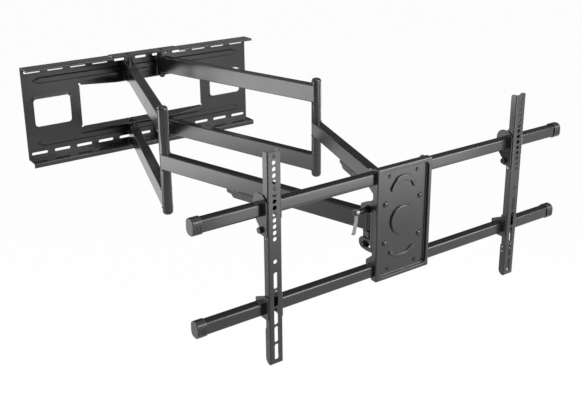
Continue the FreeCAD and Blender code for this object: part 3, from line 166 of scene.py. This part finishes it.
class StudioLook(PropertyGroup):
    """Light and floor."""
    side: FloatProperty(
        name="Side light", description="Power of the low soft box on the left",
        subtype="POWER", min=0, max=1000, default=16)
    high: FloatProperty(
        name="High front light", description="Power of the wide box high in front",
        subtype="POWER", min=0, max=1000, default=80)
    top: FloatProperty(
        name="Top light", description="Power of the small box above on the left",
        subtype="POWER", min=0, max=1000, default=12)
    front: FloatProperty(
        name="Low front light", description="Power of the wide box low in front",
        subtype="POWER", min=0, max=1000, default=9)
    strip: FloatProperty(
        name="Right strip", description="Power of the narrow light at the right",
        subtype="POWER", min=0, max=1000, default=13)
    back: FloatProperty(
        name="Back light", description="Power of the soft box behind on the left",
        subtype="POWER", min=0, max=1000, default=45)
    rim: FloatProperty(
        name="Rim light", description="Power of the strip behind on the left, for the upper edges",
        subtype="POWER", min=0, max=1000, default=14)
    sky: FloatProperty(
        name="Room light", description="Strength of the even light from all sides",
        min=0, max=2, default=0.2)
    band: FloatProperty(
        name="Dark band", description="Brightness of the dark band that reflections show",
        min=0, max=1, default=0.03)
    floor_drop: FloatProperty(
        name="Floor drop", description="Floor below the mount's middle",
        unit="LENGTH", min=0.3, max=3, default=1.3)


def node_in(tree, kind, inputs=None, links=None, **settings):
    """Add one node with its settings, its input values and the links into it."""
    node = tree.nodes.new(kind)
    for key, value in settings.items():
        setattr(node, key, value)
    for key, value in (inputs or {}).items():
        node.inputs[key].default_value = value
    for key, source in (links or {}).items():
        tree.links.new(source, node.inputs[key])
    return node


def new_material(name):
    material = bpy.data.materials.new(name)
    material.use_nodes = True
    material.node_tree.nodes.clear()
    return material, material.node_tree


def coated_steel(name, colour, gloss_low, gloss_high):
    """Steel with baked polyester powder: satin, fine orange peel, slightly uneven gloss."""
    material, tree = new_material(name)
    where = node_in(tree, "ShaderNodeTexCoord").outputs["Object"]
    # Powder melts into soft hills about 1.5 mm across.
    peel = node_in(tree, "ShaderNodeTexNoise",
                   {"Scale": 1 / 0.0015, "Detail": 2.0, "Roughness": 0.5}, {"Vector": where})
    # Film thickness varies over about 60 mm, which moves the gloss and the tone a little.
    cloud = node_in(tree, "ShaderNodeTexNoise",
                    {"Scale": 1 / 0.06, "Detail": 2.0, "Roughness": 0.6}, {"Vector": where})
    gloss = node_in(tree, "ShaderNodeMapRange", {"To Min": gloss_low, "To Max": gloss_high},
                    {"Value": cloud.outputs["Fac"]})
    tone = node_in(tree, "ShaderNodeMapRange", {"To Min": 0.9, "To Max": 1.1},
                   {"Value": cloud.outputs["Fac"]})
    shade = node_in(tree, "ShaderNodeMix", {"Factor": 1.0, "A": colour},
                    {"B": tone.outputs["Result"]}, data_type="RGBA", blend_type="MULTIPLY")
    bump = node_in(tree, "ShaderNodeBump", {"Strength": 0.05, "Distance": 0.0001},
                   {"Height": peel.outputs["Fac"]})
    shader = node_in(tree, "ShaderNodeBsdfPrincipled", {"IOR": 1.5},
                     {"Base Color": shade.outputs["Result"], "Roughness": gloss.outputs["Result"],
                      "Normal": bump.outputs["Normal"]})
    node_in(tree, "ShaderNodeOutputMaterial", links={"Surface": shader.outputs[0]})
    return material


def moulded_plastic(name, colour, roughness, grain, depth):
    """Moulded plastic, or a smooth dipped coat; grain and depth are those of its surface."""
    material, tree = new_material(name)
    where = node_in(tree, "ShaderNodeTexCoord").outputs["Object"]
    skin = node_in(tree, "ShaderNodeTexNoise",
                   {"Scale": 1 / grain, "Detail": 3.0, "Roughness": 0.6}, {"Vector": where})
    rough = node_in(tree, "ShaderNodeMapRange",
                    {"To Min": roughness * 0.85, "To Max": roughness * 1.15},
                    {"Value": skin.outputs["Fac"]})
    bump = node_in(tree, "ShaderNodeBump", {"Strength": 0.25, "Distance": depth},
                   {"Height": skin.outputs["Fac"]})
    shader = node_in(tree, "ShaderNodeBsdfPrincipled", {"IOR": 1.53, "Base Color": colour},
                     {"Roughness": rough.outputs["Result"], "Normal": bump.outputs["Normal"]})
    node_in(tree, "ShaderNodeOutputMaterial", links={"Surface": shader.outputs[0]})
    return material


def plated_metal(name, colour, roughness, grain):
    """Steel with a thin metal or oxide skin; fine drawn lines break up the reflections."""
    material, tree = new_material(name)
    where = node_in(tree, "ShaderNodeTexCoord").outputs["Object"]
    # The lines are drawn out along the upright axis.
    drawn = node_in(tree, "ShaderNodeMapping", {"Scale": (1.0, 1.0, 0.15)}, {"Vector": where})
    lines = node_in(tree, "ShaderNodeTexNoise",
                    {"Scale": 1 / grain, "Detail": 3.0, "Roughness": 0.6},
                    {"Vector": drawn.outputs["Vector"]})
    rough = node_in(tree, "ShaderNodeMapRange",
                    {"To Min": roughness * 0.7, "To Max": roughness * 1.3},
                    {"Value": lines.outputs["Fac"]})
    tone = node_in(tree, "ShaderNodeMapRange", {"To Min": 0.88, "To Max": 1.08},
                   {"Value": lines.outputs["Fac"]})
    shade = node_in(tree, "ShaderNodeMix", {"Factor": 1.0, "A": colour},
                    {"B": tone.outputs["Result"]}, data_type="RGBA", blend_type="MULTIPLY")
    bump = node_in(tree, "ShaderNodeBump", {"Strength": 0.15, "Distance": 0.00005},
                   {"Height": lines.outputs["Fac"]})
    shader = node_in(tree, "ShaderNodeBsdfPrincipled", {"Metallic": 1.0},
                     {"Base Color": shade.outputs["Result"], "Roughness": rough.outputs["Result"],
                      "Normal": bump.outputs["Normal"]})
    node_in(tree, "ShaderNodeOutputMaterial", links={"Surface": shader.outputs[0]})
    return material


# Finishes: the maker, the material's name, the colour (a value of MountFinish, or a code), and
# the maker's own numbers.
FINISHES = {
    # Polyester powder, sprayed and baked on folded steel: satin black with soft highlights.
    "coat": (coated_steel, "satin_powder_coat", "coat", (0.2, 0.28)),
    # The same powder on smooth rolled tube, where it flows out glossier.
    "tube_coat": (coated_steel, "satin_powder_coat_on_tube", "coat", (0.18, 0.24)),
    # ABS moulded in a polished tool: smooth, shiny black caps and screws.
    "gloss": (moulded_plastic, "polished_abs", "gloss", (0.3, 0.002, 0.00003)),
    # ABS moulded in a spark-eroded tool: fine matt grain.
    "cover": (moulded_plastic, "grained_abs", "cover", (0.5, 0.0008, 0.00008)),
    # Turned acetal: waxy, self-coloured.
    "bush": (moulded_plastic, "acetal", "bush", (0.4, 0.003, 0.00002)),
    # Bright zinc plate on stamped steel: light grey, with blurred highlights.
    "zinc": (plated_metal, "bright_zinc_plate", "zinc", (0.5, 0.0006)),
    # Ground steel of the elbow pins: the brightest metal, with narrow highlights.
    "pin": (plated_metal, "ground_steel", "#a9a9a8", (0.3, 0.0004)),
    # Black electro-coat, dipped, on the round-headed screws: deep black and shiny.
    "electro_coat": (moulded_plastic, "black_electro_coat", "#0c0c0d", (0.1, 0.002, 0.00001)),
    # Oiled black oxide on high-strength bolts, nuts and pins: dark metal with a soft shine.
    "oxide": (plated_metal, "black_oxide", "black_steel", (0.38, 0.0005)),
}
MADE = {}


def finish(name):
    """One material per finish, made on first use."""
    if name not in MADE:
        maker, title, colour, surface = FINISHES[name]
        if colour.startswith("#"):
            tint = linear(colour)
        else:
            tint = tuple(getattr(bpy.context.scene.mount_finish, colour))
        MADE[name] = maker(title, tint, *surface)
    return MADE[name]


def seam_tree():
    """Geometry Nodes: overlapping ripples along the edges of a path, the bead of a weld seam."""
    tree = bpy.data.node_groups.new("weld_seam", "GeometryNodeTree")
    tree.is_modifier = True
    for title, kind in (("Geometry", "NodeSocketGeometry"), ("Ripple pitch", "NodeSocketFloat"),
                        ("Bead radius", "NodeSocketFloat"), ("Seed", "NodeSocketInt"),
                        ("Finish", "NodeSocketMaterial")):
        tree.interface.new_socket(title, in_out="INPUT", socket_type=kind)
    tree.interface.new_socket("Geometry", in_out="OUTPUT", socket_type="NodeSocketGeometry")
    given = node_in(tree, "NodeGroupInput").outputs
    path = node_in(tree, "GeometryNodeMeshToCurve", links={"Mesh": given["Geometry"]})
    steps = node_in(tree, "GeometryNodeResampleCurve", mode="LENGTH",
                    links={"Curve": path.outputs["Curve"], "Length": given["Ripple pitch"]})
    ripple = node_in(tree, "GeometryNodeMeshUVSphere", {"Segments": 8, "Rings": 5},
                     {"Radius": given["Bead radius"]})
    soft = node_in(tree, "GeometryNodeSetShadeSmooth", links={"Geometry": ripple.outputs["Mesh"]})
    uneven = node_in(tree, "FunctionNodeRandomValue",
                     {"Min": (0.86, 0.86, 0.86), "Max": (1.1, 1.1, 1.1)},
                     {"Seed": given["Seed"]}, data_type="FLOAT_VECTOR")
    row = node_in(tree, "GeometryNodeInstanceOnPoints",
                  links={"Points": steps.outputs["Curve"], "Instance": soft.outputs["Geometry"],
                         "Scale": uneven.outputs["Value"]})
    real = node_in(tree, "GeometryNodeRealizeInstances",
                   links={"Geometry": row.outputs["Instances"]})
    painted = node_in(tree, "GeometryNodeSetMaterial",
                      links={"Geometry": real.outputs["Geometry"], "Material": given["Finish"]})
    node_in(tree, "NodeGroupOutput", links={"Geometry": painted.outputs["Geometry"]})
    return tree


def weld(name, lines, body):
    """Weld seams along lines of points, all on one body."""
    detail = bpy.context.scene.mount_detail
    points = [point for line in lines for point in line]
    edges = []
    start = 0
    for line in lines:
        edges += [(start + i, start + i + 1) for i in range(len(line) - 1)]
        start += len(line)
    mesh = bpy.data.meshes.new(name)
    mesh.from_pydata(points, edges, [])
    piece = bpy.data.objects.new(name, mesh)
    bpy.context.scene.collection.objects.link(piece)
    tree = bpy.data.node_groups.get("weld_seam") or seam_tree()
    seam = piece.modifiers.new("weld_seam", "NODES")
    seam.node_group = tree
    socket = {item.name: item.identifier for item in tree.interface.items_tree
              if item.in_out == "INPUT"}
    seam[socket["Ripple pitch"]] = detail.weld_pitch
    seam[socket["Bead radius"]] = detail.weld_radius
    seam[socket["Seed"]] = detail.weld_seed
    seam[socket["Finish"]] = finish("coat")
    settle(piece)
    place(piece, body)


def middle(node):
    low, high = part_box(node)
    return (low + high) / 2


def collar_arcs(centre, towards, heights):
    """Arcs round an upright tube, where the faces of a bar that leads away from it meet it."""
    sweep = bpy.context.scene.mount_detail.weld_sweep
    radius = TUBE_R + SEAM_LIFT
    heading = math.atan2(towards.y - centre.y, towards.x - centre.x)
    turns = [heading + sweep * (i / SEAM_STEPS - 1) for i in range(2 * SEAM_STEPS + 1)]
    return [[(centre.x + radius * math.cos(turn), centre.y + radius * math.sin(turn), height)
             for turn in turns] for height in heights]


def on_outline(point):
    """Whether a point lies over the outline of the sunk panel."""
    past_x = abs(point.x) - PANEL_HALF[0]
    past_z = abs(point.z) - PANEL_HALF[1]
    past_corner = math.hypot(past_x + PANEL_CORNER, past_z + PANEL_CORNER) - PANEL_CORNER
    return min(abs(past_x), abs(past_z), abs(past_corner)) < NEAR


def round_rims(work, width):
    """Round the pressed rim: the long edges of the sunk panel, at its front and at its foot."""
    rims = []
    for edge in work.edges:
        if len(edge.link_faces) == 2 and edge.calc_face_angle() > RIM_TURN:
            first, last = (corner.co for corner in edge.verts)
            if abs(first.y - last.y) < SAME_DEPTH and on_outline(first) and on_outline(last):
                rims.append(edge)
    bmesh.ops.bevel(work, geom=rims, offset=width, offset_type="OFFSET", segments=3, profile=0.5,
                    affect="EDGES", clamp_overlap=False)


def clean_copy(node, rim):
    """A CAD node's mesh with its points merged and each flat field in one face."""
    mesh = frame["nodes"][node].data.copy()
    mesh.name = node + "_finished"
    work = bmesh.new()
    work.from_mesh(mesh)
    bmesh.ops.remove_doubles(work, verts=work.verts, dist=MERGE)
    bmesh.ops.dissolve_degenerate(work, edges=work.edges, dist=MERGE)
    if rim:
        round_rims(work, rim)
    # In one face, a flat field's own direction outweighs the rounded edges beside it.
    bmesh.ops.dissolve_limit(work, angle_limit=FLAT_TURN, verts=work.verts, edges=work.edges)
    work.to_mesh(mesh)
    work.free()
    return mesh


def smooth(mesh, turn):
    """Shade smooth, but for edges that turn by more than an angle."""
    mesh.shade_smooth()
    mesh.set_sharp_from_angle(angle=turn)


def dress(node, finish_name, edge=None, rim=0):
    """Replace a CAD node with a clean copy that has soft edges, smooth curves and its finish."""
    mesh = clean_copy(node, rim)
    mesh.materials.clear()
    mesh.materials.append(finish(finish_name))
    smooth(mesh, TURN_BUILT)
    piece = bpy.data.objects.new(mesh.name, mesh)
    bpy.context.scene.collection.objects.link(piece)
    width = bpy.context.scene.mount_finish.edge if edge is None else edge
    if width > 0:
        bevel = piece.modifiers.new("soft_edges", "BEVEL")
        bevel.width = width
        bevel.segments = 2
        bevel.limit_method = "ANGLE"
        bevel.angle_limit = BEVEL_TURN
        bevel.miter_outer = "MITER_ARC"
        settle(piece)
        smooth(piece.data, TURN_ROUNDED)
    # Large faces keep their own direction, so sheet and tube shine as flat surfaces.
    flat = piece.modifiers.new("flat_faces", "WEIGHTED_NORMAL")
    flat.mode = "FACE_AREA_WITH_ANGLE"
    flat.weight = FLAT_WEIGHT
    flat.keep_sharp = True
    settle(piece)
    place(piece, BODY_OF[node])
    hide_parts(node)


def settle(piece):
    """Turn a piece's modifiers into plain mesh and take them off."""
    graph = bpy.context.evaluated_depsgraph_get()
    graph.update()
    mesh = bpy.data.meshes.new_from_object(piece.evaluated_get(graph),
                                           preserve_all_data_layers=True, depsgraph=graph)
    piece.modifiers.clear()
    piece.data = mesh
    mesh.name = piece.name


def place(piece, body):
    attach(piece, body)


class MOUNT_OT_wall_plate(Operator):
    """Coat the pressed wall plate and its two doubler strips"""
    bl_idname = "mount.wall_plate"
    bl_label = "Wall plate"

    def execute(self, context):
        dress("wall_plate", "coat", EDGE_FULL)
        dress("upper_doubler", "coat")
        dress("lower_doubler", "coat")
        return {"FINISHED"}


class MOUNT_OT_arms(Operator):
    """Coat the arm bars, caps, pins and bushes, and lay the weld seams"""
    bl_idname = "mount.arms"
    bl_label = "Arms"

    def execute(self, context):
        for side in SIDES:
            for stem in ("inner_upper_arm_", "inner_lower_arm_", "outer_arm_"):
                dress(stem + side, "tube_coat")
            dress("cable_cover_" + side, "cover")
            dress("elbow_caps_" + side, "gloss", AS_BUILT)
            dress("elbow_pin_" + side, "pin", AS_BUILT)
            for stem in ("wall_bushes_", "elbow_bushes_", "head_bushes_"):
                dress(stem + side, "bush", AS_BUILT)
            self.weld_arms(side)
        return {"FINISHED"}

    def weld_arms(self, side):
        wall = middle("wall_bushes_" + side)
        elbow = middle("elbow_pin_" + side)
        head = middle("head_bushes_" + side)
        low, high = INNER_BAR
        heights = (low - SEAM_LIFT, high + SEAM_LIFT, -low + SEAM_LIFT, -high - SEAM_LIFT)
        inner = collar_arcs(wall, elbow, heights) + collar_arcs(elbow, wall, heights)
        weld("inner_arm_welds_" + side, inner, "inner_" + side)
        outer = collar_arcs(elbow, head, (OUTER_BAR + SEAM_LIFT, -OUTER_BAR - SEAM_LIFT))
        weld("outer_arm_welds_" + side, outer, "outer_" + side)


class MOUNT_OT_head(Operator):
    """Coat the yoke, the tilt bracket and the head plate"""
    bl_idname = "mount.head"
    bl_label = "Head"

    def execute(self, context):
        for node in ("head_yoke", "tilt_bracket", "level_spacer", "rail_ears", "level_pivot"):
            dress(node, "coat", EDGE_FULL)
        dress("head_plate", "coat", EDGE_FINE, PANEL_RIM)
        dress("head_pins", "oxide", EDGE_THIN)
        return {"FINISHED"}


class MOUNT_OT_rails(Operator):
    """Coat the rails and fit their polished caps"""
    bl_idname = "mount.rails"
    bl_label = "Rails"

    def execute(self, context):
        dress("upper_rail", "tube_coat", AS_BUILT)
        dress("lower_rail", "tube_coat", AS_BUILT)
        dress("rail_end_caps", "gloss", EDGE_THIN)
        return {"FINISHED"}


class MOUNT_OT_brackets(Operator):
    """Coat the upright brackets and their clamps"""
    bl_idname = "mount.brackets"
    bl_label = "Brackets"

    def execute(self, context):
        for side in SIDES:
            dress("tv_bracket_" + side, "coat", EDGE_THIN)
            dress("upper_clamp_" + side, "coat", EDGE_FULL)
            dress("lower_clamp_" + side, "coat", EDGE_FULL)
            dress("safety_screw_" + side, "gloss", EDGE_FINE)
        return {"FINISHED"}


class MOUNT_OT_fasteners(Operator):
    """Finish bolts, nuts, washers and the clamp lever"""
    bl_idname = "mount.fasteners"
    bl_label = "Fasteners"

    def execute(self, context):
        for node in ("wall_pivot_bolts", "wall_pivot_washers", "tilt_guide_bolts",
                     "tilt_guide_nuts"):
            dress(node, "oxide", EDGE_FULL)
        dress("clamp_lever", "zinc", EDGE_FULL)
        for node in ("tilt_clamp_bolt", "tilt_clamp_nut", "level_nuts"):
            dress(node, "oxide", EDGE_FULL)
        dress("level_bolts", "electro_coat", AS_BUILT)
        dress("rail_screws", "electro_coat", EDGE_FINE)
        return {"FINISHED"}


class MOUNT_OT_stage(Operator):
    """Floor, light and camera"""
    bl_idname = "mount.stage"
    bl_label = "Stage"

    def execute(self, context):
        scene = context.scene
        look = scene.studio_look
        scene.view_settings.view_transform = "Standard"
        self.make_floor(look)
        self.make_world(scene, look)
        for name, spot, aim, size, power in SOFT_BOXES:
            self.lamp(name, spot, aim, size, getattr(look, power))
        self.camera(scene)
        return {"FINISHED"}

    def make_floor(self, look):
        mesh = bpy.data.meshes.new("floor")
        corners = [(x, y, -look.floor_drop) for x, y in (
            (-FLOOR_HALF, -FLOOR_HALF), (FLOOR_HALF, -FLOOR_HALF),
            (FLOOR_HALF, FLOOR_HALF), (-FLOOR_HALF, FLOOR_HALF))]
        mesh.from_pydata(corners, [], [(0, 1, 2, 3)])
        # Matt white studio paper; the camera and the metal see it at its full white.
        material, tree = new_material("studio_paper")
        rays = node_in(tree, "ShaderNodeLightPath").outputs
        mirrored = node_in(tree, "ShaderNodeMath", operation="MAXIMUM",
                           links={0: rays["Is Glossy Ray"], 1: rays["Is Transmission Ray"]})
        seen = node_in(tree, "ShaderNodeMath", operation="MAXIMUM",
                       links={0: rays["Is Camera Ray"], 1: mirrored.outputs[0]})
        share = node_in(tree, "ShaderNodeMath", {1: FULL_WHITE}, {0: seen.outputs[0]},
                        operation="MULTIPLY")
        paper = node_in(tree, "ShaderNodeBsdfDiffuse", {"Color": linear("#fbfbfa")})
        glow = node_in(tree, "ShaderNodeEmission", {"Color": (1, 1, 1, 1), "Strength": 1.0})
        blend = node_in(tree, "ShaderNodeMixShader",
                        links={0: share.outputs[0], 1: paper.outputs[0], 2: glow.outputs[0]})
        node_in(tree, "ShaderNodeOutputMaterial", links={"Surface": blend.outputs[0]})
        mesh.materials.append(material)
        floor = bpy.data.objects.new("floor", mesh)
        bpy.context.scene.collection.objects.link(floor)

    def make_world(self, scene, look):
        world = bpy.data.worlds.new("even_room")
        scene.world = world
        world.use_nodes = True
        tree = world.node_tree
        tree.nodes.clear()
        rays = node_in(tree, "ShaderNodeLightPath").outputs
        where = node_in(tree, "ShaderNodeTexCoord").outputs["Generated"]
        height = node_in(tree, "ShaderNodeSeparateXYZ", links={0: where}).outputs["Z"]
        drop = node_in(tree, "ShaderNodeMapRange",
                       {"From Min": BACKDROP_TOP, "From Max": BAND_FROM,
                        "To Min": 1.0, "To Max": look.band},
                       {"Value": height}, interpolation_type="SMOOTHSTEP")
        rise = node_in(tree, "ShaderNodeMapRange",
                       {"From Min": BAND_TO, "From Max": CEILING_FROM},
                       {"Value": height}, interpolation_type="SMOOTHSTEP")
        studio = node_in(tree, "ShaderNodeMath", operation="MAXIMUM",
                         links={0: drop.outputs["Result"], 1: rise.outputs["Result"]})
        mirrored = node_in(tree, "ShaderNodeMath", operation="MAXIMUM",
                           links={0: rays["Is Glossy Ray"], 1: rays["Is Transmission Ray"]})
        # Matt surfaces get the even room light, and the camera sees plain white.
        room = node_in(tree, "ShaderNodeMix", {"A": look.sky},
                       {"Factor": mirrored.outputs[0], "B": studio.outputs[0]})
        level = node_in(tree, "ShaderNodeMix", {"B": 1.0},
                        {"Factor": rays["Is Camera Ray"], "A": room.outputs["Result"]})
        back = node_in(tree, "ShaderNodeBackground", {"Color": (1, 1, 1, 1)},
                       {"Strength": level.outputs["Result"]})
        node_in(tree, "ShaderNodeOutputWorld", links={"Surface": back.outputs[0]})

    def lamp(self, name, spot, aim, size, power):
        data = bpy.data.lights.new(name, "AREA")
        data.shape = "RECTANGLE"
        data.size, data.size_y = size
        data.energy = power
        lamp = bpy.data.objects.new(name, data)
        lamp.location = spot
        lamp.visible_camera = False
        lamp.rotation_mode = "QUATERNION"
        lamp.rotation_quaternion = (Vector(aim) - Vector(spot)).to_track_quat("-Z", "Y")
        bpy.context.scene.collection.objects.link(lamp)

    def camera(self, scene):
        ahead = Vector((math.sin(YAW) * math.cos(PITCH), math.cos(YAW) * math.cos(PITCH),
                        -math.sin(PITCH)))
        right = Vector((math.cos(YAW), -math.sin(YAW), 0))
        up = right.cross(ahead)
        rolled_right = right * math.cos(ROLL) + up * math.sin(ROLL)
        rolled_up = up * math.cos(ROLL) - right * math.sin(ROLL)
        data = bpy.data.cameras.new("camera")
        data.sensor_width = SENSOR
        data.lens = FOCAL * SENSOR / PHOTO_W
        data.shift_y = (AXIS_ROW - PHOTO_H / 2) / PHOTO_W
        data.clip_end = VIEW_END
        camera = bpy.data.objects.new("camera", data)
        turn = Matrix((rolled_right, rolled_up, -ahead)).transposed()
        camera.matrix_world = Matrix.Translation(EYE) @ turn.to_4x4()
        scene.collection.objects.link(camera)
        scene.camera = camera


class VIEW3D_PT_mount(Panel):
    """Buttons and sizes of the screen mount"""
    bl_label = "Screen mount"
    bl_space_type = "VIEW_3D"
    bl_region_type = "UI"
    bl_category = "Screen mount"

    def draw(self, context):
        layout = self.layout
        scene = context.scene
        for group in (scene.mount_finish, scene.mount_detail, scene.studio_look):
            box = layout.box()
            for key in group.__annotations__:
                box.prop(group, key)
        for operator in OPERATORS:
            layout.operator(operator.bl_idname)


GROUPS = (MountFinish, MountDetail, StudioLook)
OPERATORS = (MOUNT_OT_wall_plate, MOUNT_OT_arms, MOUNT_OT_head, MOUNT_OT_rails, MOUNT_OT_brackets,
             MOUNT_OT_fasteners, MOUNT_OT_stage)


def register():
    for item in GROUPS + OPERATORS + (VIEW3D_PT_mount,):
        bpy.utils.register_class(item)
    bpy.types.Scene.mount_finish = PointerProperty(type=MountFinish)
    bpy.types.Scene.mount_detail = PointerProperty(type=MountDetail)
    bpy.types.Scene.studio_look = PointerProperty(type=StudioLook)


def unregister():
    del bpy.types.Scene.studio_look
    del bpy.types.Scene.mount_detail
    del bpy.types.Scene.mount_finish
    for item in reversed(GROUPS + OPERATORS + (VIEW3D_PT_mount,)):
        bpy.utils.unregister_class(item)


def main():
    register()
    for operator in OPERATORS:
        group, name = operator.bl_idname.split(".")
        getattr(getattr(bpy.ops, group), name)()


if __name__ == "__main__":
    main()
